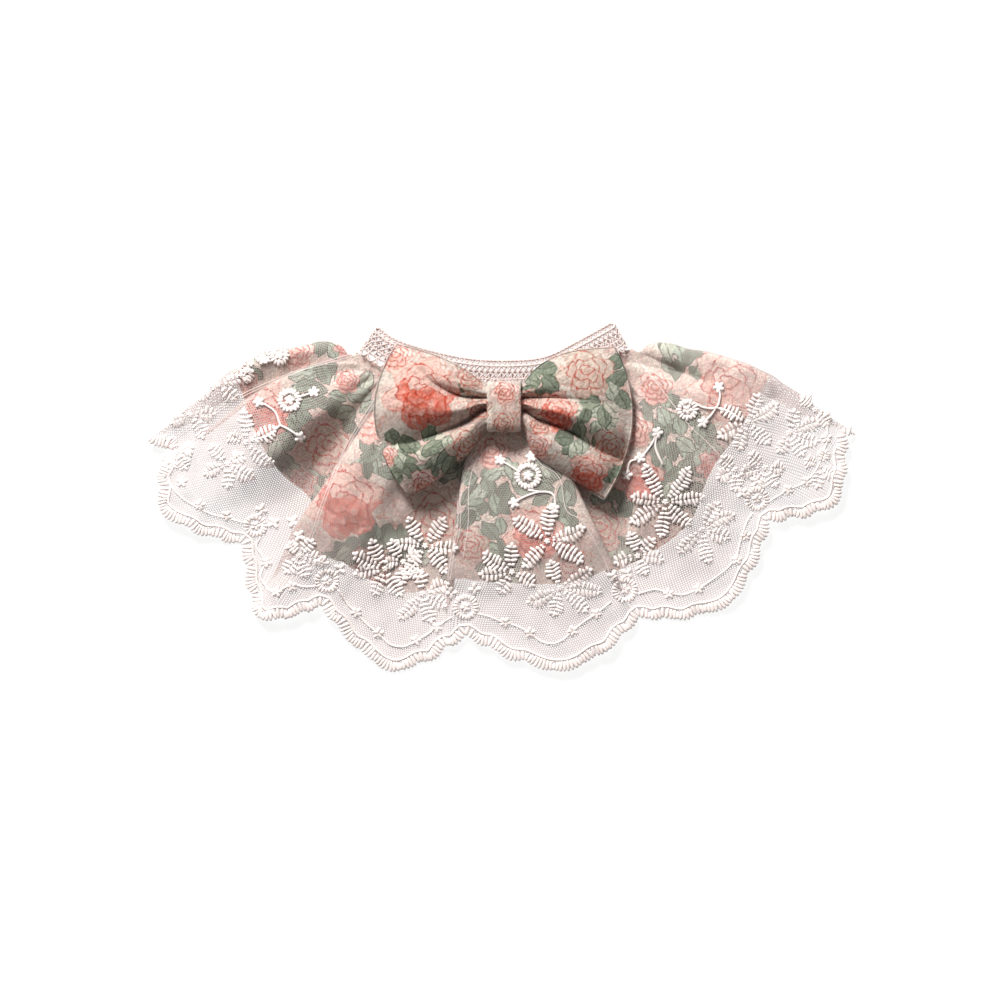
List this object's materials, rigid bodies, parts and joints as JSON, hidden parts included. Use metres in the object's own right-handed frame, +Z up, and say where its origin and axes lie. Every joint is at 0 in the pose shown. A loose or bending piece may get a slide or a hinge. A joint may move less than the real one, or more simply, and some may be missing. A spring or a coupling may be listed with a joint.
{
  "type": "pet lace collar",
  "caption": "Bib-like pet collar of gathered floral cloth under a longer scalloped lace ruffle, on a crocheted neckband with a bow, lying flat.",
  "frame": {"origin": "on the floor, in the middle of the collar's outline as it lies flat", "axes": "+X to the right across the ruffles, +Y towards the neck, +Z up from the floor through the bow"},
  "size_m": [0.32, 0.1567, 0.022],
  "materials": {
    "crochet": "soft white cotton thread, crocheted in an open lattice",
    "floral_cotton": "matte twill cotton with a printed rose pattern",
    "embroidered_net": "fine see-through net with raised white embroidery"
  },
  "bodies": {
    "root": {"neckband": "crochet", "floral_ruffle": "floral_cotton", "lace_ruffle": "embroidered_net", "bow_loop_left": "floral_cotton", "bow_loop_right": "floral_cotton", "bow_knot": "floral_cotton"}
  },
  "joints": []
}
